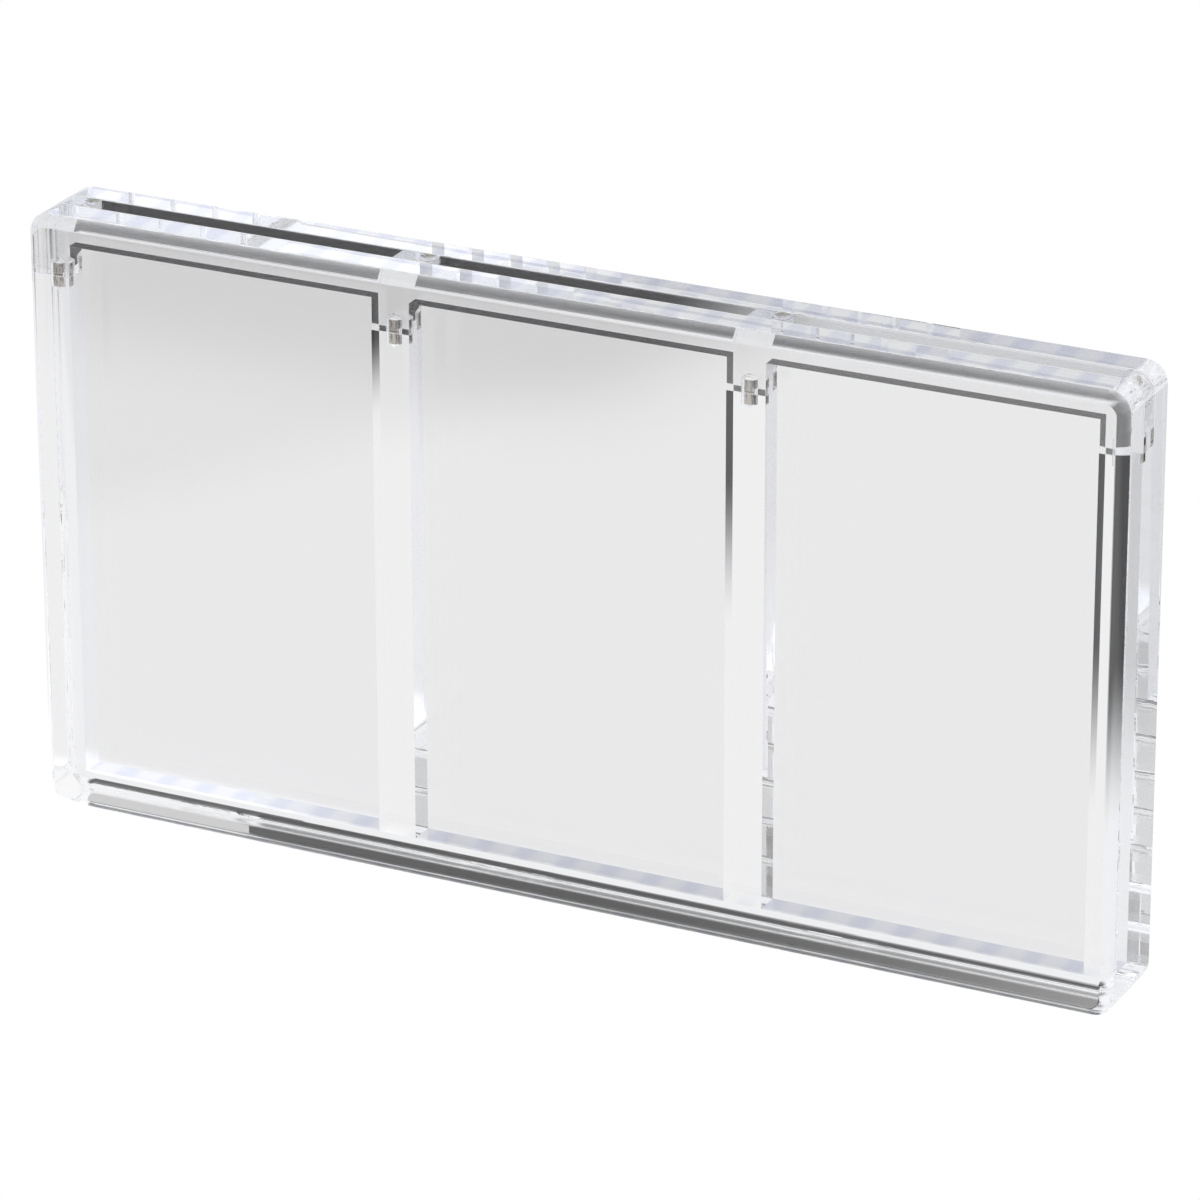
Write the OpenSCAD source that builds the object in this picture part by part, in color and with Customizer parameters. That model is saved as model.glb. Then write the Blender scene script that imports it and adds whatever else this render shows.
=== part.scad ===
// Display case for three graded trading cards, in clear cast acrylic.
// A front and a back plate with bevelled rims are bonded to a middle layer of strips, which
// leaves three pockets open at the top. A comb of the same sheet drops in between the plates as the
// lid, and four pairs of round magnets hold it down on the posts and dividers.
// X runs across the case, Y from the front plate to the back plate, Z up from the table.

/* [Pockets] */
// Width of one card pocket
pocket_w = 83.4; // [60:0.1:100]
// Height of a pocket from the bottom rail to the lid's bar
pocket_h = 139.7; // [80:0.1:180]
// Depth of a pocket, which is the thickness of the middle layer
pocket_d = 6.5; // [5:0.1:30]

/* [Middle layer] */
// Height of the bottom rail under the pockets
bottom_rail_h = 8; // [4:0.1:20]
// Width of the left post
left_post_w = 8.4; // [6:0.1:20]
// Width of the right post
right_post_w = 9.2; // [6:0.1:20]
// Width of each divider between two pockets
divider_w = 10.1; // [6:0.1:20]

/* [Plates] */
// Thickness of the front plate
front_plate_t = 10.5; // [6:0.05:15]
// Thickness of the back plate
back_plate_t = 10.5; // [6:0.05:15]
// Width of the 45 degree bevel round the outer face of each plate
edge_bevel = 2.75; // [0.5:0.05:5]
// Radius of the outer face's corners, inside the bevel
face_corner_r = 2.75; // [0.5:0.05:12]

/* [Lid] */
// Height of the lid's bar above the pockets
top_bar_h = 9.3; // [5:0.1:20]
// Length of the lid's legs below its bar
leg_h = 8.2; // [4:0.1:20]
// Air gap between the lid and each plate
slide_gap = 0.1; // [0.05:0.05:0.3]

/* [Magnets] */
// Diameter of a magnet
magnet_d = 4; // [2:0.1:4.5]
// Length of a magnet
magnet_h = 3; // [1:0.1:3.5]
// Air gap round a magnet in its hole
magnet_gap = 0.05; // [0.02:0.01:0.1]
// Depth of a magnet's face below the seat
magnet_recess = 0.1; // [0.05:0.05:0.3]
// Angle at the point of the drill that made the holes
drill_point_angle = 118; // [90:1:150]

/* [Hidden] */

// Outer size of the case
case_w = left_post_w + 3 * pocket_w + 2 * divider_w + right_post_w;
case_h = bottom_rail_h + pocket_h + top_bar_h;
case_d = front_plate_t + pocket_d + back_plate_t;
corner_r = face_corner_r + edge_bevel;

// Places along Y: the middle layer lies between the two plates
front_y = -case_d / 2;
middle_y = front_y + front_plate_t;
back_y = middle_y + pocket_d;
middle_mid_y = middle_y + pocket_d / 2;

// Heights: the ceiling of the pockets, and the plane where the lid sits on the uprights
ceiling_z = bottom_rail_h + pocket_h;
seat_z = ceiling_z - leg_h;

// The four uprights from left to right, with their widths and their left edges
upright_w = [left_post_w, divider_w, divider_w, right_post_w];
upright_x = [for (i = [0 : 3]) -case_w / 2 + i * pocket_w + sum_of_first(i, upright_w)];

// Drilled holes: a magnet and its gap, with a cone left by the drill at the blind end
hole_d = magnet_d + 2 * magnet_gap;
hole_depth = magnet_h + magnet_recess;
hole_cone_h = hole_d / 2 / tan(drill_point_angle / 2);

// How far a cut runs past the face that it opens
margin = 1;
// Facets of a full circle
$fn = 64;

// Sum of the first n entries of a list
function sum_of_first(n, list) = n == 0 ? 0 : list[n - 1] + sum_of_first(n - 1, list);

// Middle of upright i across the case
function upright_mid_x(i) = upright_x[i] + upright_w[i] / 2;

// Outline of the case with its four rounded corners
module outline() {
    for (x = [corner_r - case_w / 2, case_w / 2 - corner_r])
        for (z = [corner_r, case_h - corner_r])
            translate([x, z])
                circle(corner_r);
    translate([-case_w / 2, corner_r])
        square([case_w, case_h - 2 * corner_r]);
    translate([corner_r - case_w / 2, 0])
        square([case_w - 2 * corner_r, case_h]);
}

// Section through a plate across its length: square at the inside face (depth 0), and
// bevelled at the outer face (depth thickness)
function plate_section(length, thickness) = [
    [0, 0], [length, 0], [length, thickness - edge_bevel], [length - edge_bevel, thickness],
    [edge_bevel, thickness], [0, thickness - edge_bevel]
];

// A plate with its inside face at y = 0 and its bevelled outer face at y = -thickness
module plate(thickness) {
    translate([corner_r - case_w / 2, 0, 0])
        rotate([0, 0, 90])
            rotate([90, 0, 0])
                linear_extrude(case_w - 2 * corner_r)
                    polygon([for (p = plate_section(case_h, thickness)) [-p[1], p[0]]]);
    translate([-case_w / 2, 0, corner_r])
        linear_extrude(case_h - 2 * corner_r)
            polygon([for (p = plate_section(case_w, thickness)) [p[0], -p[1]]]);
    for (x = [corner_r - case_w / 2, case_w / 2 - corner_r])
        for (z = [corner_r, case_h - corner_r])
            translate([x, 0, z])
                rotate([90, 0, 0]) {
                    cylinder(r = corner_r, h = thickness - edge_bevel);
                    translate([0, 0, thickness - edge_bevel])
                        cylinder(r1 = corner_r, r2 = face_corner_r, h = edge_bevel);
                }
}

// A sheet with the case's outline, from y back to y + thickness
module sheet(y, thickness) {
    translate([0, y + thickness, 0])
        rotate([90, 0, 0])
            linear_extrude(thickness)
                outline();
}

// The part of the middle layer that lies in a rectangle from (x, z)
module middle_strip(x, z, width, height) {
    intersection() {
        sheet(middle_y, pocket_d);
        translate([x, middle_y - margin, z])
            cube([width, pocket_d + 2 * margin, height]);
    }
}

// A blind hole drilled from the seat into upright i, up when side is 1 and down when -1
module magnet_hole(i, side) {
    translate([upright_mid_x(i), middle_mid_y, seat_z])
        rotate([side > 0 ? 0 : 180, 0, 0]) {
            translate([0, 0, -margin])
                cylinder(d = hole_d, h = hole_depth + margin);
            translate([0, 0, hole_depth])
                cylinder(d1 = hole_d, d2 = 0, h = hole_cone_h);
        }
}

// An upright of the case, from the bottom rail to the seat, with the hole for its magnet
module upright(i) {
    difference() {
        middle_strip(upright_x[i], bottom_rail_h, upright_w[i], seat_z - bottom_rail_h);
        magnet_hole(i, -1);
    }
}

// A round magnet in upright i, on the side of the seat given by side
module magnet(i, side) {
    start_z = seat_z + side * magnet_recess + (side > 0 ? 0 : -magnet_h);
    color("silver")
        translate([upright_mid_x(i), middle_mid_y, start_z])
            cylinder(d = magnet_d, h = magnet_h);
}

// Clear sheet in front of the pockets
module front_plate() {
    color("azure", 0.35)
        translate([0, middle_y, 0])
            plate(front_plate_t);
}

// Clear sheet behind the pockets
module back_plate() {
    color("azure", 0.35)
        translate([0, back_y, 0])
            mirror([0, 1, 0])
                plate(back_plate_t);
}

// Strip that closes the pockets at the bottom, over the full width
module bottom_rail() {
    color("lightcyan", 0.6)
        middle_strip(-case_w / 2, 0, case_w, bottom_rail_h);
}

// Strip that closes the left end
module left_post() {
    color("lightcyan", 0.6)
        upright(0);
}

// Strip between two pockets, counted from the left
module divider(i) {
    color("lightblue", 0.6)
        upright(i);
}

// Strip that closes the right end
module right_post() {
    color("lightcyan", 0.6)
        upright(3);
}

// Lid: a bar over the pockets with four legs, one on each upright
module lid_comb() {
    color("paleturquoise", 0.7)
        difference() {
            intersection() {
                sheet(middle_y + slide_gap, pocket_d - 2 * slide_gap);
                translate([-case_w / 2 - margin, middle_y, seat_z])
                    cube([case_w + 2 * margin, pocket_d, case_h - seat_z + margin]);
            }
            for (i = [0 : 2])
                translate([upright_x[i] + upright_w[i], middle_y, seat_z - margin])
                    cube([pocket_w, pocket_d, leg_h + margin]);
            for (i = [0 : 3])
                magnet_hole(i, 1);
        }
}

front_plate();
back_plate();
bottom_rail();
left_post();
divider(1);  // divider_1
divider(2);  // divider_2
right_post();
lid_comb();
magnet(0, -1);  // case_magnet_1
magnet(1, -1);  // case_magnet_2
magnet(2, -1);  // case_magnet_3
magnet(3, -1);  // case_magnet_4
magnet(0, 1);  // lid_magnet_1
magnet(1, 1);  // lid_magnet_2
magnet(2, 1);  // lid_magnet_3
magnet(3, 1);  // lid_magnet_4
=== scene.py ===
import math

import bpy
import numpy as np
from bpy.props import FloatProperty, FloatVectorProperty, IntProperty, PointerProperty
from mathutils import Matrix, Vector


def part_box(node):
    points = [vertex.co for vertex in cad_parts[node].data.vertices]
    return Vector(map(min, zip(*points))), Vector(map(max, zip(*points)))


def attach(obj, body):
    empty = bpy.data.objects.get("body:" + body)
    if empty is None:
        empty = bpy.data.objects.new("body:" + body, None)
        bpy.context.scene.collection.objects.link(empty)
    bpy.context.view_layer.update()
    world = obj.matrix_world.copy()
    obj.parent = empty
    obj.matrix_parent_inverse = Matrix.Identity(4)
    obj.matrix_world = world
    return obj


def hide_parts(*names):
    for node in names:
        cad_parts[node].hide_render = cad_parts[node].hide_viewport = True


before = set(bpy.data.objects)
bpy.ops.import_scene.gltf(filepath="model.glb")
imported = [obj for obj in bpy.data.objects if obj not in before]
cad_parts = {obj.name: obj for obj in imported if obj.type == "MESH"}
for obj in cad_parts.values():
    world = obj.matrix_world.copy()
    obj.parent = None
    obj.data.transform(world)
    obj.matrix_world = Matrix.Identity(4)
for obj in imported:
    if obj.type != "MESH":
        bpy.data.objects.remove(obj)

bl_info = {
    "name": "Card display case",
    "version": (1, 0, 0),
    "blender": (4, 5, 0),
    "location": "3D View > Sidebar > Display case",
    "description": "Clear bonded case for three graded cards, with a lift-out lid held by magnets",
    "category": "Add Mesh",
}

PLATES = ("front_plate", "back_plate")
UPRIGHTS = ("left_post", "divider_1", "divider_2", "right_post")
BONDED = (*PLATES, "bottom_rail", *UPRIGHTS)
MAGNETS = {"case": [f"case_magnet_{i}" for i in range(1, 5)],
           "lid": [f"lid_magnet_{i}" for i in range(1, 5)]}
FACE, EDGE, BORE, UNDERSIDE = range(4)  # material slots of the clear pieces
X, Y, Z = range(3)  # columns of an array of points
MM = 0.001
SAME_PLACE = 0.001 * MM  # two places closer together than this are one
WELD_DIGITS = 8  # decimals of a metre to which points are rounded before they are made one
ACRYLIC_IOR = 1.49
ARRIS_SEGMENTS = 2
SENSOR_WIDTH = 36.0
CAMERA_REACH = 100.0
STAGE_REACH = 20.0  # from the case to the edge of the floor and of the light table
STAGE_DROP = 0.3 * MM  # the stage lies this far under the case, so that no two faces coincide
STAGE_SEGMENTS = 64
BOUNCES = 128  # light turns dozens of times inside the edges before it leaves them
WHITE = "#FFFFFF"


# ---------------------------------------------------------------- the frame's sizes

def vertices_of(mesh):
    """All vertices of a mesh as an n by 3 array, in metres."""
    flat = np.empty(len(mesh.vertices) * 3)
    mesh.vertices.foreach_get("co", flat)
    return flat.reshape(-1, 3)


def points_of(node):
    """All vertices of a CAD node as an n by 3 array, in metres."""
    return vertices_of(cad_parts[node].data)


def corner_radius():
    """Outer radius: how far the flat top edge of the front plate stops short of its end."""
    points = points_of("front_plate")
    top = points[points[:, Z] > points[:, Z].max() - SAME_PLACE]
    return points[:, X].max() - top[:, 0].max()


def bevel_width():
    """Width of the bevel round a plate: how far its outer face stops short of its top edge."""
    points = points_of("front_plate")
    face = points[points[:, Y] < points[:, Y].min() + SAME_PLACE]
    return points[:, Z].max() - face[:, 2].max()


def ceiling_height():
    """Top of a pocket: the lowest lid vertex above the seat on the wall of divider 1."""
    wall_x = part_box("divider_1")[1].x
    points = points_of("lid_comb")
    on_wall = points[np.abs(points[:, X] - wall_x) < SAME_PLACE]
    seat = points[:, Z].min()
    return on_wall[on_wall[:, Z] > seat + SAME_PLACE, Z].min()


def bore_of(node, magnet):
    """(centre x, centre y, radius, shoulder z, tip z) of the blind hole round a magnet.

    The hole's vertices are those within one and a half magnet radii of its axis: the tip lies on the
    axis, the seat is the height furthest from it, and the shoulder is the height between the two."""
    low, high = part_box(magnet)
    centre = (low + high) / 2
    magnet_radius = (high.x - low.x) / 2
    points = points_of(node)
    off_axis = np.hypot(points[:, X] - centre.x, points[:, Y] - centre.y)
    near = off_axis < 1.5 * magnet_radius
    off_axis, height = off_axis[near], points[near, Z]
    tip = height[np.argmin(off_axis)]
    seat = height[np.argmax(np.abs(height - tip))]
    at_shoulder = (np.abs(height - tip) > SAME_PLACE) & (np.abs(height - seat) > SAME_PLACE)
    return centre.x, centre.y, off_axis[at_shoulder].max(), height[at_shoulder][0], tip


# ---------------------------------------------------------------- surfaces

def arc(centre_x, centre_z, radius, start, stop, count):
    """count points of a circle, with x = cx + r cos a and z = cz + r sin a.

    The angle a runs from start to stop, in degrees."""
    angle = np.radians(np.linspace(start, stop, count))
    return np.column_stack([centre_x + radius * np.cos(angle),
                            centre_z + radius * np.sin(angle)])


def wall(loop, y_from, y_to):
    """A closed loop of (x, z) points carried along Y: point (i, j) is (x_i, y_j, z_i).

    The loop runs anticlockwise seen from -Y, and the faces point out of it."""
    count = len(loop)
    near = np.insert(loop, 1, y_from, axis=1)
    far = np.insert(loop, 1, y_to, axis=1)
    i = np.arange(count)
    j = (i + 1) % count
    faces = np.column_stack([i, i + count, j + count, j])
    return np.vstack([near, far]), [tuple(face) for face in faces]


def cap(loop, y, facing):
    """A flat face at y with the loop's outline. It looks along -Y where facing is -1, else along +Y."""
    points = np.insert(loop, 1, y, axis=1)
    order = np.arange(len(loop)) if facing < 0 else np.arange(len(loop))[::-1]
    return points, [tuple(order)]


def drilled_face(x_range, y_range, bore, seat, segments):
    """A rectangle at z = seat with a round blind hole in it, its wall and the cone at its end.

    The rim is x = cx + r cos a, y = cy + r sin a, with a starting in the direction of the first corner.
    Four patches fill the rectangle, each from one side of it to the quarter of the rim it faces.
    The face looks up where the hole goes down from it, and down where the hole goes up."""
    centre_x, centre_y, radius, shoulder, tip = bore
    first_corner = np.radians(225)
    angle = first_corner + np.arange(segments) * 2 * np.pi / segments
    ring = np.column_stack([centre_x + radius * np.cos(angle),
                            centre_y + radius * np.sin(angle)])
    corners = np.array([[x_range[0], y_range[0]], [x_range[1], y_range[0]],
                        [x_range[1], y_range[1]], [x_range[0], y_range[1]]])
    points = np.vstack([np.insert(corners, 2, seat, axis=1), np.insert(ring, 2, seat, axis=1),
                        np.insert(ring, 2, shoulder, axis=1), [[centre_x, centre_y, tip]]])
    quarter = segments // 4
    rim = 4 + np.arange(segments)
    faces = []
    for k in range(4):
        inner = [int(rim[(k * quarter + s) % segments]) for s in range(quarter, -1, -1)]
        faces.append((k, (k + 1) % 4, *inner))
    following = np.roll(rim, -1)
    wall_faces = np.column_stack([rim, following, following + segments, rim + segments])
    faces += [tuple(face) for face in wall_faces]
    last = len(points) - 1
    faces += [(int(a), int(b), last) for a, b in zip(rim + segments, following + segments)]
    if tip > seat:
        faces = [face[::-1] for face in faces]
    return points, faces


def turned(profile, centre_x, centre_y, segments):
    """A profile of (radius, z) points turned round a vertical axis.

    Point (k, a) is x = cx + r_k cos a, y = cy + r_k sin a, z = z_k. The profile starts and ends on the
    axis, and runs from the bottom to the top."""
    angle = np.arange(segments) * 2 * np.pi / segments
    radius, height = profile[1:-1, 0], profile[1:-1, 1]
    ring = np.stack([centre_x + np.outer(radius, np.cos(angle)),
                     centre_y + np.outer(radius, np.sin(angle)),
                     np.repeat(height[:, None], segments, axis=1)], axis=2)
    points = np.vstack([ring.reshape(-1, 3), [[centre_x, centre_y, profile[0, 1]]],
                        [[centre_x, centre_y, profile[-1, 1]]]])
    i = np.arange(segments)
    j = (i + 1) % segments
    faces = []
    for row in range(len(radius) - 1):
        a, b = row * segments, (row + 1) * segments
        faces += [tuple(face) for face in np.column_stack([a + i, a + j, b + j, b + i])]
    bottom, top, last = len(points) - 2, len(points) - 1, (len(radius) - 1) * segments
    faces += [(bottom, int(b), int(a)) for a, b in zip(i, j)]
    faces += [(top, int(a), int(b)) for a, b in zip(last + i, last + j)]
    return points, faces


def mesh_from(name, patches):
    """One mesh from several (points, faces, material) patches, with coinciding points made one."""
    offset, points, faces, slots = 0, [], [], []
    for patch_points, patch_faces, slot in patches:
        points.append(patch_points)
        faces += [tuple(int(v) + offset for v in face) for face in patch_faces]
        slots += [slot] * len(patch_faces)
        offset += len(patch_points)
    merged, index = np.unique(np.round(np.vstack(points), WELD_DIGITS), axis=0, return_inverse=True)
    index = index.ravel()
    mesh = bpy.data.meshes.new(name)
    mesh.from_pydata(merged, [], [tuple(int(index[v]) for v in face) for face in faces])
    mesh.polygons.foreach_set("material_index", slots)
    mesh.update()
    return mesh


# ---------------------------------------------------------------- materials

def linear(hex_colour):
    """An sRGB hex colour as linear RGBA."""
    value = np.array([int(hex_colour[i:i + 2], 16) for i in (1, 3, 5)]) / 255
    rgb = np.where(value <= 0.04045, value / 12.92, ((value + 0.055) / 1.055) ** 2.4)
    return (*rgb.tolist(), 1.0)


def add(tree, kind, inputs=None, **properties):
    """Adds a node to tree. inputs maps the name or number of an input to a value or to the output that
    feeds it, and the rest are the node's properties."""
    node = tree.nodes.new(kind)
    for name, value in properties.items():
        setattr(node, name, value)
    for name, value in (inputs or {}).items():
        if isinstance(value, bpy.types.NodeSocket):
            tree.links.new(value, node.inputs[name])
        else:
            node.inputs[name].default_value = value
    return node


def new_material(name):
    """An empty node material and its tree."""
    material = bpy.data.materials.new(name)
    material.use_nodes = True
    material.node_tree.nodes.clear()
    return material, material.node_tree


def finished(material, shader):
    """The material with this shader on its surface."""
    add(material.node_tree, "ShaderNodeOutputMaterial", {"Surface": shader.outputs[0]})
    return material


def stretched_noise(tree, per_metre, detail):
    """Noise in Object coordinates with this many cells to the metre along X, Y and Z."""
    place = add(tree, "ShaderNodeTexCoord").outputs["Object"]
    scaled = add(tree, "ShaderNodeMapping", {"Vector": place, "Scale": per_metre}, vector_type="POINT")
    return add(tree, "ShaderNodeTexNoise", {
        "Vector": scaled.outputs["Vector"], "Scale": 1.0, "Detail": detail}).outputs["Fac"]


def tint(tree, share, first, second):
    """The hex colour first where share is 0 and second where it is 1, blended in between."""
    return add(tree, "ShaderNodeMix", {"Factor": share, "A": linear(first), "B": linear(second)},
               data_type="RGBA").outputs["Result"]


def cast_acrylic(name, tints, roughness, per_metre, relief):
    """Cast PMMA, as clear as water, with the relief that the way it was made left on its surface.

    tints are the two hex colours it drifts between, per_metre the cells of the relief to the metre
    along X, Y and Z, and relief its height in metres."""
    material, tree = new_material(name)
    waves = stretched_noise(tree, per_metre, 2.0)
    bump = add(tree, "ShaderNodeBump", {"Height": waves, "Strength": 1.0, "Distance": relief})
    return finished(material, add(tree, "ShaderNodeBsdfPrincipled", {
        "Base Color": tint(tree, waves, *tints), "Normal": bump.outputs["Normal"],
        "IOR": ACRYLIC_IOR, "Roughness": roughness, "Transmission Weight": 1.0}))


def sheet_face():
    """The glassy skin of a sheet cast between two panes of glass.

    It keeps their shallow waves, some 30 mm long, which bend by a hair what is seen through them."""
    return cast_acrylic("cast_acrylic_face", ("#F8F8F8", "#F8F8F9"), roughness=0.0,
                        per_metre=(34, 34, 34), relief=0.012 * MM)


def polished_edge():
    """A sawn edge that was milled and buffed along its length.

    Lines a millimetre apart run with the edge, so the light it gathers breaks into thin streaks, and
    the longer path through it looks cooler."""
    return cast_acrylic("cast_acrylic_edge", ("#FAFBFD", "#F7F8FC"), roughness=0.0,
                        per_metre=(14, 900, 14), relief=0.001 * MM)


def satin_underside_with_painted_shade():
    """The edge that the case stands on: milled flat and left satin. Its tint, a darker grey-blue than
    the other faces of the same clear acrylic, is painted shade along the foot of the case.
    """
    # the rough surface is the real satin; the darker tint is painted shade
    return cast_acrylic("cast_acrylic_underside_painted_shade", ("#DADDE7", "#C8CBD8"), roughness=0.1,
                        per_metre=(14, 900, 14), relief=0.004 * MM)


def drilled_bore():
    """The wall that a drill leaves: rings of swarf marks up the hole, which frost it white.

    Real rings are less than a tenth of a millimetre apart. They are drawn at a third of a millimetre,
    so that they show."""
    return cast_acrylic("cast_acrylic_bore", ("#F6F8FA", "#EEF0F3"), roughness=0.12,
                        per_metre=(400, 400, 3000), relief=0.004 * MM)


def nickel_plate():
    """Nickel plated on a sintered magnet and tumbled in a barrel.

    It is a warm grey mirror, mottled and dulled a little where the plating took up the grain beneath.
    Real grains measure a few thousandths of a millimetre. They are drawn at half a millimetre, so that
    they show."""
    material, tree = new_material("nickel_plating")
    grain = stretched_noise(tree, (1800, 1800, 1800), 3.0)
    dulled = add(tree, "ShaderNodeMapRange", {"Value": grain, "To Min": 0.08, "To Max": 0.24})
    return finished(material, add(tree, "ShaderNodeBsdfPrincipled", {
        "Base Color": tint(tree, grain, "#DCD7CE", "#C9C2B7"),
        "Roughness": dulled.outputs["Result"], "Metallic": 1.0}))


# ---------------------------------------------------------------- settings

class CaseSettings(bpy.types.PropertyGroup):
    """Sizes of the finish on the case that the frame doesn't carry."""
    arris: FloatProperty(
        name="Arris", description="Width to which each sharp edge of a plate is eased",
        default=0.15 * MM, min=0.05 * MM, max=0.5 * MM, unit="LENGTH")
    lid_arris: FloatProperty(
        name="Lid arris", description="Width to which each long edge of the lid is eased",
        default=0.09 * MM, min=0.02 * MM, max=0.5 * MM, unit="LENGTH")
    bevel_bulge: FloatProperty(
        name="Bevel bulge", description="How far the polished bevel swells past a flat one",
        default=0.29 * MM, min=0.02 * MM, max=1 * MM, unit="LENGTH")
    bevel_steps: IntProperty(
        name="Bevel steps", description="Facets across a bevel", default=16, min=2, max=32)
    seat_gap: FloatProperty(
        name="Seat gap", description="Air left under the lid's legs by their sawn faces",
        default=0.06 * MM, min=0.02 * MM, max=0.3 * MM, unit="LENGTH")
    corner_segments: IntProperty(
        name="Corner segments", description="Facets of each rounded corner", default=48, min=8, max=96)
    bore_segments: IntProperty(
        name="Bore segments", description="Facets round a drilled hole or a magnet",
        default=64, min=16, max=128)
    magnet_rim: FloatProperty(
        name="Magnet rim", description="Radius of the rolled rim of a plated magnet",
        default=0.2 * MM, min=0.02 * MM, max=0.5 * MM, unit="LENGTH")
    rim_steps: IntProperty(
        name="Rim steps", description="Facets across a magnet's rim", default=5, min=1, max=16)


class StudioSettings(bpy.types.PropertyGroup):
    """Where the camera stands and what it aims at."""
    azimuth: FloatProperty(
        name="Azimuth", description="How far the camera stands to the right of the case's front",
        default=math.radians(26.13), subtype="ANGLE")
    elevation: FloatProperty(
        name="Elevation", description="How far the camera looks down",
        default=math.radians(22.62), subtype="ANGLE")
    roll: FloatProperty(
        name="Roll", description="Tilt of the camera about its own axis",
        default=math.radians(-0.134), subtype="ANGLE")
    distance: FloatProperty(
        name="Distance", description="From the camera to the point it aims at",
        default=1.5632, min=0.3, unit="LENGTH")
    aim: FloatVectorProperty(
        name="Aim", description="Point at the middle of the picture",
        default=(0.0102, -0.011, 0.0822), subtype="XYZ", unit="LENGTH")
    lens: FloatProperty(
        name="Lens", description="Focal length on a 36 mm wide sensor", default=197.1, min=20, max=400)


# ---------------------------------------------------------------- outlines

def case_outlines():
    """The three closed loops of the bonded case in the (x, z) plane, all anticlockwise seen from -Y.

    whole is the rounded outline, base the strips up to the seat, and slot what is left above them:
    base and slot share the line that runs along the seat and round the pockets."""
    low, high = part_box("front_plate")
    radius = corner_radius()
    count = bpy.context.scene.display_case.corner_segments
    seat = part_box("divider_1")[1].z
    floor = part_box("bottom_rail")[1].z
    left, right = low.x + radius, high.x - radius
    bottom, top = low.z + radius, high.z - radius
    under = np.vstack([[[low.x, seat]], arc(left, bottom, radius, 180, 270, count),
                       arc(right, bottom, radius, 270, 360, count), [[high.x, seat]]])
    over = np.vstack([arc(right, top, radius, 0, 90, count), arc(left, top, radius, 90, 180, count)])
    line = []
    for upright, following in zip(UPRIGHTS[:0:-1], UPRIGHTS[-2::-1]):
        wall_x, next_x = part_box(upright)[0].x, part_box(following)[1].x
        line += [[wall_x, seat], [wall_x, floor], [next_x, floor], [next_x, seat]]
    line = np.array(line)
    whole = np.vstack([under, over])
    base = np.vstack([under, line])
    slot = np.vstack([under[-1:], over, under[:1], line[::-1]])
    return whole, base, slot


def bevel_profile(width, bulge, steps):
    """Section of the polished bevel as (inset, depth) points on an arc from (0, width) to (width, 0).

    With the chord c = width * sqrt(2), its radius is c^2 / (8 bulge) + bulge / 2, and its normal turns
    evenly through 45 degrees from the flat edge towards the outer face."""
    chord = width * math.sqrt(2)
    radius = chord ** 2 / (8 * bulge) + bulge / 2
    half = math.asin(chord / (2 * radius))
    angle = math.pi / 4 + np.linspace(-half, half, steps + 1)
    return np.column_stack([radius * (np.cos(angle[0]) - np.cos(angle)),
                            radius * (np.sin(angle[-1]) - np.sin(angle))])


def rim(loop, profile, y_face, inward):
    """The bevel round a plate: point (k, i) is point i of the loop drawn in by profile[k, 0] along the
    outline's own normal, at y = y_face + inward * profile[k, 1].

    A point's normal is its direction from the nearest corner centre, or straight in on a flat side."""
    low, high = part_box("front_plate")
    radius = corner_radius()
    centre = np.clip(loop, np.array([low.x, low.z]) + radius, np.array([high.x, high.z]) - radius)
    away = loop - centre
    share = 1 - profile[:, 0, None, None] / np.linalg.norm(away, axis=1, keepdims=True)
    across = centre + away * share
    depth = np.broadcast_to(y_face + inward * profile[:, 1, None, None], (*across.shape[:2], 1))
    points = np.concatenate([across[:, :, :1], depth, across[:, :, 1:]], axis=2).reshape(-1, 3)
    count = len(loop)
    row, i = np.divmod(np.arange((len(profile) - 1) * count), count)
    j = (i + 1) % count
    here, following = row * count, (row + 1) * count
    faces = np.column_stack([here + i, following + i, following + j, here + j])
    if inward > 0:
        faces = faces[:, ::-1]
    return points, [tuple(face) for face in faces]


def lid_outline(seat):
    """The lid's closed loop in the (x, z) plane: rounded top corners and four legs down to the seat."""
    low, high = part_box("lid_comb")
    radius = corner_radius()
    count = bpy.context.scene.display_case.corner_segments
    ceiling = ceiling_height()
    top = high.z - radius
    legs = [[low.x, seat]]
    for upright, following in zip(UPRIGHTS, UPRIGHTS[1:]):
        wall_x, next_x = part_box(upright)[1].x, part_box(following)[0].x
        legs += [[wall_x, seat], [wall_x, ceiling], [next_x, ceiling], [next_x, seat]]
    legs += [[high.x, seat]]
    return np.vstack([legs, arc(high.x - radius, top, radius, 0, 90, count),
                      arc(low.x + radius, top, radius, 90, 180, count)])


def magnet_profile(radius, bottom, top, rim, steps):
    """Half section of a magnet as (radius, z) points, up from the axis and back to it.

    The lower rim is the quarter circle r = R - rim + rim cos a, z = bottom + rim + rim sin a, with a
    from -90 to 0 degrees, and the upper one is its mirror image."""
    lower = arc(radius - rim, bottom + rim, rim, -90, 0, steps + 1)
    upper = np.column_stack([lower[::-1, 0], top + bottom - lower[::-1, 1]])
    return np.vstack([[[0, bottom]], lower, upper, [[0, top]]])


def without_seats(patch, seat):
    """A wall patch without its flat faces at the height of the seat, which are drilled."""
    points, faces = patch
    kept = [face for face in faces if not np.all(np.abs(points[list(face), Z] - seat) < SAME_PLACE)]
    return points, kept


def bevelled(mesh, chosen, width, name):
    """An object of the mesh whose chosen edges, a boolean per edge, get a polished arris."""
    attribute = mesh.attributes.new("bevel_weight_edge", "FLOAT", "EDGE")
    attribute.data.foreach_set("value", chosen.astype(np.float32))
    piece = bpy.data.objects.new(name, mesh)
    bpy.context.scene.collection.objects.link(piece)
    bevel = piece.modifiers.new("arris", "BEVEL")
    bevel.limit_method = "WEIGHT"
    bevel.width = width
    bevel.segments = ARRIS_SEGMENTS
    bevel.use_clamp_overlap = False
    return piece


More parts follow.
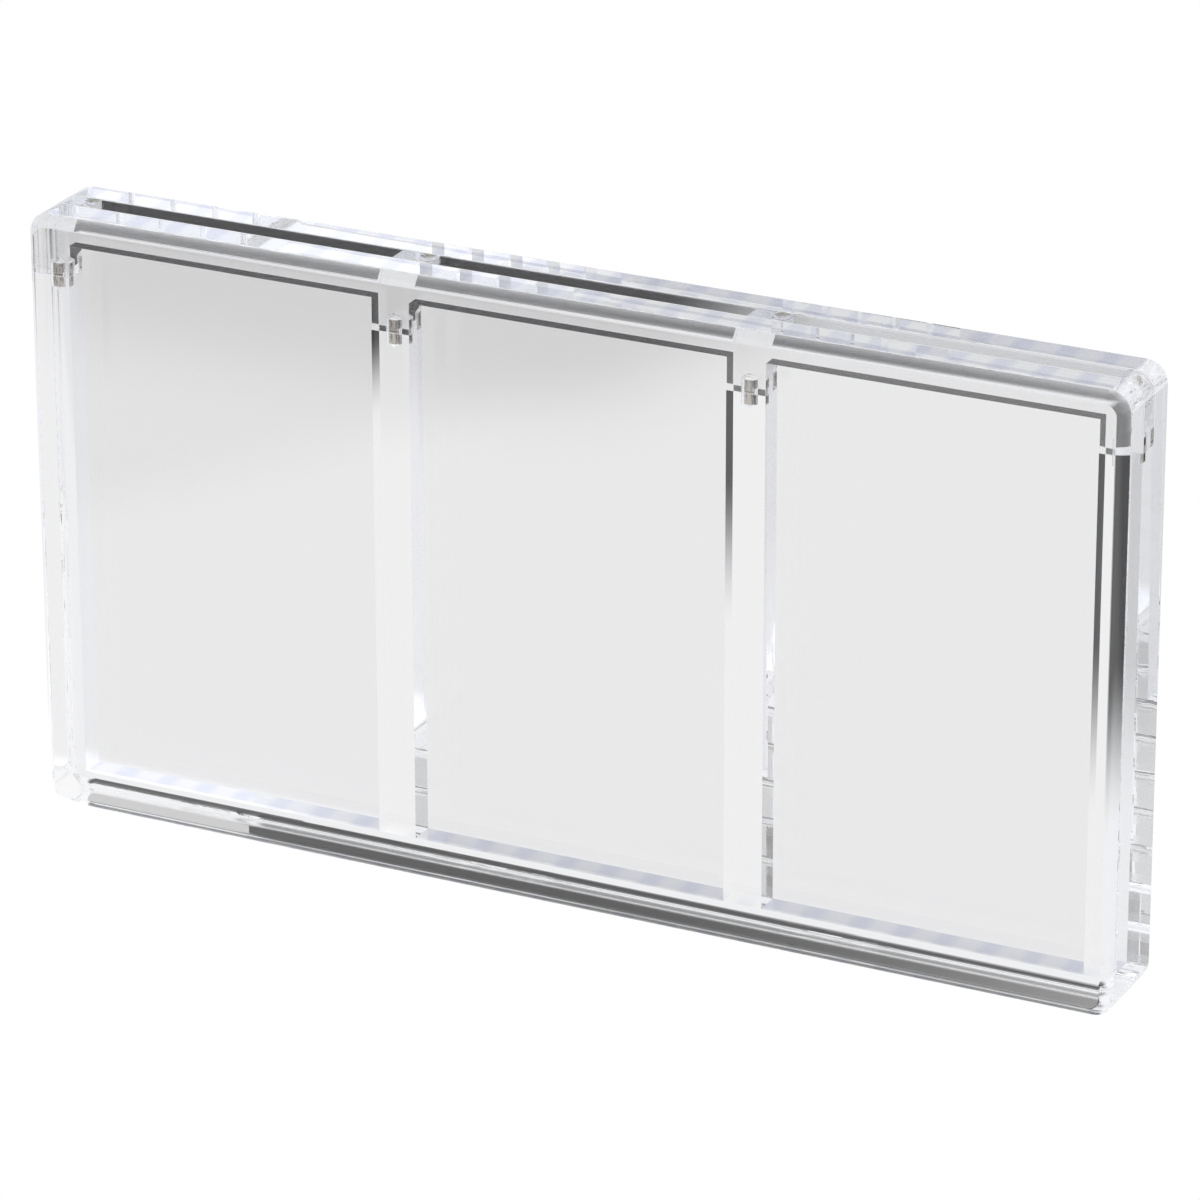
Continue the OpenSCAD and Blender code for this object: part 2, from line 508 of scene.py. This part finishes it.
def edge_ends(mesh):
    """Both end points of every edge, as an m by 2 by 3 array."""
    pairs = np.empty(len(mesh.edges) * 2, dtype=np.int32)
    mesh.edges.foreach_get("vertices", pairs)
    return vertices_of(mesh)[pairs].reshape(-1, 2, 3)


def lies_at(ends, axis, *places):
    """Which edges lie in one plane across this axis, at any of the places or at minus that place."""
    level = np.abs(ends[:, 0, axis] - ends[:, 1, axis]) < SAME_PLACE
    reach = np.abs(ends[:, :, axis])
    there = [np.all(np.abs(reach - place) < SAME_PLACE, axis=1) for place in places]
    return level & np.any(there, axis=0)


def satin_and_painted_shade_below(mesh, floor, y_inside):
    """Gives the underside's material, satin with a tint of painted shade, to the faces of both plates
    that stand on the floor.
    """
    centres = np.empty(3 * len(mesh.polygons))
    mesh.polygons.foreach_get("center", centres)
    _, y, z = centres.reshape(-1, 3).T
    slots = np.empty(len(mesh.polygons), dtype=np.int32)
    mesh.polygons.foreach_get("material_index", slots)
    slots[(z < floor + SAME_PLACE) & (np.abs(y) > y_inside)] = UNDERSIDE
    mesh.polygons.foreach_set("material_index", slots)


def smooth_round_faces(mesh, angle=20):
    """Smooth shading, broken at every edge sharper than angle degrees."""
    mesh.polygons.foreach_set("use_smooth", np.ones(len(mesh.polygons), dtype=bool))
    mesh.set_sharp_from_angle(angle=math.radians(angle))


# ---------------------------------------------------------------- operators

class DISPLAYCASE_OT_bonded_case(bpy.types.Operator):
    """Make the case: both plates, the rail, the posts and the dividers, bonded into one clear solid"""
    bl_idname = "display_case.bonded_case"
    bl_label = "Bonded case"

    def execute(self, context):
        settings = context.scene.display_case
        whole, base, slot = case_outlines()
        front, middle, back = (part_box(n) for n in ("front_plate", "divider_1", "back_plate"))
        y_outer, y_front, y_back, y_rear = front[0].y, middle[0].y, middle[1].y, back[1].y
        seat = middle[1].z
        bevel = bevel_width()
        profile = bevel_profile(bevel, settings.bevel_bulge, settings.bevel_steps)
        front_rim = rim(whole, profile, y_outer, 1)
        back_rim = rim(whole, profile, y_rear, -1)
        innermost = front_rim[0][-len(whole):]
        face = innermost[:, [X, Z]]
        patches = [
            (*cap(face, y_outer, -1), FACE), (*cap(slot, y_front, 1), FACE),
            (*cap(slot, y_back, -1), FACE), (*cap(face, y_rear, 1), FACE),
            (*front_rim, EDGE), (*back_rim, EDGE),
            (*wall(whole, y_outer + bevel, y_front), EDGE),
            (*wall(whole, y_back, y_rear - bevel), EDGE),
            (*without_seats(wall(base, y_front, y_back), seat), EDGE),
        ]
        for upright, magnet in zip(UPRIGHTS, MAGNETS["case"]):
            low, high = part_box(upright)
            seat_face = drilled_face((low.x, high.x), (y_front, y_back), bore_of(upright, magnet),
                                     seat, settings.bore_segments)
            patches.append((*seat_face, BORE))
        mesh = mesh_from("bonded_case", patches)
        satin_and_painted_shade_below(mesh, front[0].z, y_back)
        ends = edge_ends(mesh)
        above = np.all(ends[:, :, Z] > seat - SAME_PLACE, axis=1) & ~lies_at(ends, Z, seat)
        on_rim = np.all((np.abs(ends[:, :, X]) > front[1].x - corner_radius() - SAME_PLACE)
                        | (ends[:, :, Z] > front[1].z - SAME_PLACE), axis=1)
        eased = lies_at(ends, Y, y_rear, y_rear - bevel) | (lies_at(ends, Y, y_back) & above & on_rim)
        piece = bevelled(mesh, eased, settings.arris, "bonded_case")
        for material in (sheet_face(), polished_edge(), drilled_bore(), satin_underside_with_painted_shade()):
            mesh.materials.append(material)
        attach(piece, "case")
        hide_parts(*BONDED)
        return {"FINISHED"}


class DISPLAYCASE_OT_lid(bpy.types.Operator):
    """Make the lid: a comb of clear sheet that stands on the posts and dividers"""
    bl_idname = "display_case.lid"
    bl_label = "Lid"

    def execute(self, context):
        settings = context.scene.display_case
        low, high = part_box("lid_comb")
        seat = low.z + settings.seat_gap
        loop = lid_outline(seat)
        patches = [(*cap(loop, low.y, -1), FACE), (*cap(loop, high.y, 1), FACE),
                   (*without_seats(wall(loop, low.y, high.y), seat), EDGE)]
        for upright, magnet in zip(UPRIGHTS, MAGNETS["lid"]):
            left, right = (corner.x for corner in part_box(upright))
            leg_end = drilled_face((left, right), (low.y, high.y), bore_of("lid_comb", magnet),
                                   seat, settings.bore_segments)
            patches.append((*leg_end, BORE))
        mesh = mesh_from("lid_comb_clear", patches)
        smooth_round_faces(mesh)
        eased = lies_at(edge_ends(mesh), Y, high.y)
        piece = bevelled(mesh, eased, settings.lid_arris, "lid_comb_clear")
        for name in ("cast_acrylic_face", "cast_acrylic_edge", "cast_acrylic_bore"):
            mesh.materials.append(bpy.data.materials[name])
        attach(piece, "lid")
        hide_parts("lid_comb")
        return {"FINISHED"}


class DISPLAYCASE_OT_magnets(bpy.types.Operator):
    """Make the eight round magnets, each with the rounded rim that plating leaves"""
    bl_idname = "display_case.magnets"
    bl_label = "Magnets"

    def execute(self, context):
        settings = context.scene.display_case
        material = nickel_plate()
        for body, nodes in MAGNETS.items():
            for node in nodes:
                low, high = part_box(node)
                middle = (low + high) / 2
                profile = magnet_profile((high.x - low.x) / 2, low.z, high.z,
                                         settings.magnet_rim, settings.rim_steps)
                shape = turned(profile, middle.x, middle.y, settings.bore_segments)
                mesh = mesh_from(node + "_plated", [(*shape, FACE)])
                smooth_round_faces(mesh)
                piece = bpy.data.objects.new(node + "_plated", mesh)
                context.scene.collection.objects.link(piece)
                mesh.materials.append(material)
                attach(piece, body)
                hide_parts(node)
        return {"FINISHED"}


class DISPLAYCASE_OT_stage(bpy.types.Operator):
    """Set up the camera, the pale floor and the soft studio light"""
    bl_idname = "display_case.stage"
    bl_label = "Stage"

    def execute(self, context):
        place_camera(context.scene.display_case_studio)
        sheet = square_sheet(STAGE_REACH, -STAGE_DROP)
        wall_radius, wall_height = 0.9 * STAGE_REACH, 0.5 * STAGE_REACH
        dome = np.array([[0, -2 * STAGE_DROP], [wall_radius, -2 * STAGE_DROP],
                         [wall_radius, wall_height], [0, wall_radius]])
        paper = lit_paper("white_paper", 1.0)
        for seen_only in (stage_piece("studio_floor", *sheet, paper),
                          stage_piece("studio_wall", *turned(dome, 0, 0, STAGE_SEGMENTS), paper)):
            seen_only.visible_diffuse = False
            seen_only.visible_glossy = False
            seen_only.visible_transmission = False
            seen_only.visible_shadow = False
        left, right, bottom, top, behind = -0.44, -0.2, 0.09, 0.19, 0.2
        card = np.array([[left, behind, bottom], [right, behind, bottom],
                         [right, behind, top], [left, behind, top]])
        grey_card = (card, [(0, 1, 2, 3)])
        for unseen in (stage_piece("light_table", *sheet, table_light()),
                       stage_piece("card_behind", *grey_card, lit_paper("grey_card", 0.62))):
            unseen.visible_camera = False
        studio_world()
        context.scene.view_settings.view_transform = "Standard"
        cycles = context.scene.cycles
        cycles.max_bounces = cycles.transmission_bounces = cycles.glossy_bounces = BOUNCES
        cycles.caustics_refractive = True
        return {"FINISHED"}


def stage_piece(name, points, faces, material):
    """An object of the studio."""
    piece = bpy.data.objects.new(name, bpy.data.meshes.new(name))
    piece.data.from_pydata(points, [], faces)
    piece.data.materials.append(material)
    bpy.context.scene.collection.objects.link(piece)
    return piece


def square_sheet(reach, height):
    """A flat square at z = height that reaches this far from the case each way."""
    corners = np.array([[-1, -1, 0], [1, -1, 0], [1, 1, 0], [-1, 1, 0]]) * reach + [0, 0, height]
    return corners, [(0, 1, 2, 3)]


def lit_paper(name, brightness):
    """Paper under even soft light: it sends out the same white from all over."""
    material, tree = new_material(name)
    return finished(material, add(tree, "ShaderNodeEmission", {
        "Color": linear(WHITE), "Strength": brightness}))


def fade(tree, value, start, stop):
    """0 where value is below start, 1 above stop and smooth in between."""
    return add(tree, "ShaderNodeMapRange", {"Value": value, "From Min": start, "From Max": stop},
               interpolation_type="SMOOTHSTEP").outputs["Result"]


def weighted_sum(tree, base, *terms):
    """base plus each output times its factor, for terms of (factor, output)."""
    total = base
    for factor, output in terms:
        total = add(tree, "ShaderNodeMath", {0: output, 1: factor, 2: total},
                    operation="MULTIPLY_ADD").outputs[0]
    return total


def product(tree, *factors):
    """All these outputs multiplied with each other."""
    total = factors[0]
    for factor in factors[1:]:
        total = add(tree, "ShaderNodeMath", {0: total, 1: factor}, operation="MULTIPLY").outputs[0]
    return total


def rest_of(tree, share):
    """1 less this share."""
    return weighted_sum(tree, 1.0, (-1.0, share))


def table_light():
    """The lit table as the acrylic sees it, with Object coordinates in metres from the case's middle.

    It is white paper under soft light. No light reaches two patches of it: one behind the case on the
    right, where y + 1.32 x and x are both large, and one before it on the left, where -y and -x are.
    Both end half a metre from the case. A broad soft shadow crosses the table behind the left pocket,
    along the line 0.538 y - x = 0.329. The light that the case's own edges gather lies under the case
    on the left, and faint streaks all along it. Each pair of numbers is where a patch begins and where
    it has its full strength."""
    material, tree = new_material("light_table")
    place = add(tree, "ShaderNodeTexCoord").outputs["Object"]
    split = add(tree, "ShaderNodeSeparateXYZ", {"Vector": place})
    x, y = split.outputs["X"], split.outputs["Y"]
    to_front, to_left = (weighted_sum(tree, 0.0, (-1.0, axis)) for axis in (y, x))
    off_middle = add(tree, "ShaderNodeMath", {0: y}, operation="ABSOLUTE").outputs[0]
    behind = product(tree, fade(tree, weighted_sum(tree, 0.0, (1.0, y), (1.32, x)), 0.33, 0.5),
                     fade(tree, x, 0.085, 0.125))
    before = product(tree, fade(tree, to_front, 0.26, 0.34), fade(tree, to_left, 0.10, 0.16))
    either = add(tree, "ShaderNodeMath", {0: behind, 1: before}, operation="MAXIMUM").outputs[0]
    dark = product(tree, either, rest_of(tree, fade(tree, off_middle, 0.42, 0.5)))
    shadow_line = weighted_sum(tree, -0.329, (-1.0, x), (0.538, y))
    shadow = product(tree, fade(tree, shadow_line, -0.03, 0.03), fade(tree, y, 0.10, 0.2))
    under = rest_of(tree, fade(tree, off_middle, 0.014, 0.028))
    gathered = product(tree, under, rest_of(tree, fade(tree, x, -0.10, -0.03)))
    waves = add(tree, "ShaderNodeTexWave", {"Vector": place, "Scale": 28.0, "Distortion": 1.5},
                wave_type="BANDS", bands_direction="X", wave_profile="SIN").outputs["Fac"]
    # painted shade: faint bluish darker streaks in the table's light all along the case
    streak = product(tree, under, fade(tree, waves, 0.3, 0.9))
    brightness = weighted_sum(tree, 0.92, (-0.86, dark), (-0.07, shadow), (0.5, gathered),
                              (-0.03, streak))
    return finished(material, add(tree, "ShaderNodeEmission", {
        "Color": tint(tree, streak, WHITE, "#F1F3FC"), "Strength": brightness}))


def dim_patch(tree, azimuth, elevation, middle, half, edge):
    """1 in an oval patch of the sky and 0 outside it, with middle and half sizes in degrees.

    The distance from the middle is q = ((azimuth - middle_a) / half_a)^2
    + ((elevation - middle_e) / half_e)^2, and the patch fades out as q rises from edge to 1.25."""
    squares = []
    for angle, centre, reach in zip((azimuth, elevation), middle, half):
        offset = weighted_sum(tree, -centre / reach, (math.degrees(1) / reach, angle))
        squares.append((1.0, product(tree, offset, offset)))
    return rest_of(tree, fade(tree, weighted_sum(tree, 0.0, *squares), edge, 1.25))


def studio_world():
    """A white studio all round, with an unlit opening behind the case and a grey ceiling to its left.

    Azimuth is counted from +Y towards +X and elevation from the horizon."""
    world = bpy.data.worlds.new("studio")
    bpy.context.scene.world = world
    world.use_nodes = True
    tree = world.node_tree
    direction = add(tree, "ShaderNodeTexCoord").outputs["Generated"]
    split = add(tree, "ShaderNodeSeparateXYZ", {"Vector": direction})
    x, y, z = (split.outputs[axis] for axis in "XYZ")
    azimuth = add(tree, "ShaderNodeMath", {0: x, 1: y}, operation="ARCTAN2").outputs[0]
    elevation = add(tree, "ShaderNodeMath", {0: z}, operation="ARCSINE").outputs[0]
    opening = dim_patch(tree, azimuth, elevation, middle=(-29, 14), half=(16, 18), edge=0.4)
    ceiling = dim_patch(tree, azimuth, elevation, middle=(-102, 60), half=(48, 15), edge=0.6)
    background = tree.nodes["Background"]
    background.inputs["Color"].default_value = linear(WHITE)
    tree.links.new(weighted_sum(tree, 1.0, (-0.94, opening), (-0.78, ceiling)),
                   background.inputs["Strength"])


def place_camera(studio):
    """Puts the camera on a line through the aim point, at the azimuth and elevation, and rolls it."""
    camera = bpy.data.objects.new("camera", bpy.data.cameras.new("camera"))
    bpy.context.scene.collection.objects.link(camera)
    camera.data.lens = studio.lens
    camera.data.sensor_width = SENSOR_WIDTH
    camera.data.clip_end = CAMERA_REACH
    forward = Vector((-math.sin(studio.azimuth) * math.cos(studio.elevation),
                      math.cos(studio.azimuth) * math.cos(studio.elevation),
                      -math.sin(studio.elevation)))
    right = Vector((math.cos(studio.azimuth), math.sin(studio.azimuth), 0))
    turn = Matrix.Rotation(-studio.roll, 3, forward)
    axes = Matrix((turn @ right, turn @ right.cross(forward), -forward)).transposed()
    stand = Vector(studio.aim) - forward * studio.distance
    camera.matrix_world = Matrix.Translation(stand) @ axes.to_4x4()
    bpy.context.scene.camera = camera


class DISPLAYCASE_PT_panel(bpy.types.Panel):
    """Lists the pieces of the display case and their settings"""
    bl_label = "Display case"
    bl_idname = "DISPLAYCASE_PT_panel"
    bl_space_type = "VIEW_3D"
    bl_region_type = "UI"
    bl_category = "Display case"

    def draw(self, context):
        for settings in (context.scene.display_case, context.scene.display_case_studio):
            column = self.layout.column()
            for name in settings.__annotations__:
                column.prop(settings, name)
        for operator in OPERATORS:
            self.layout.operator(operator.bl_idname)


OPERATORS = (DISPLAYCASE_OT_bonded_case, DISPLAYCASE_OT_lid, DISPLAYCASE_OT_magnets,
             DISPLAYCASE_OT_stage)
CLASSES = (CaseSettings, StudioSettings, *OPERATORS, DISPLAYCASE_PT_panel)


def register():
    """Registers the classes and hangs the settings on the scene."""
    for cls in CLASSES:
        bpy.utils.register_class(cls)
    bpy.types.Scene.display_case = PointerProperty(type=CaseSettings)
    bpy.types.Scene.display_case_studio = PointerProperty(type=StudioSettings)


def unregister():
    """Takes the settings and the classes away again."""
    del bpy.types.Scene.display_case_studio
    del bpy.types.Scene.display_case
    for cls in reversed(CLASSES):
        bpy.utils.unregister_class(cls)


def main():
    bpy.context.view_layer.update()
    register()
    bpy.ops.display_case.bonded_case()
    bpy.ops.display_case.lid()
    bpy.ops.display_case.magnets()
    bpy.ops.display_case.stage()


if __name__ == "__main__":
    main()
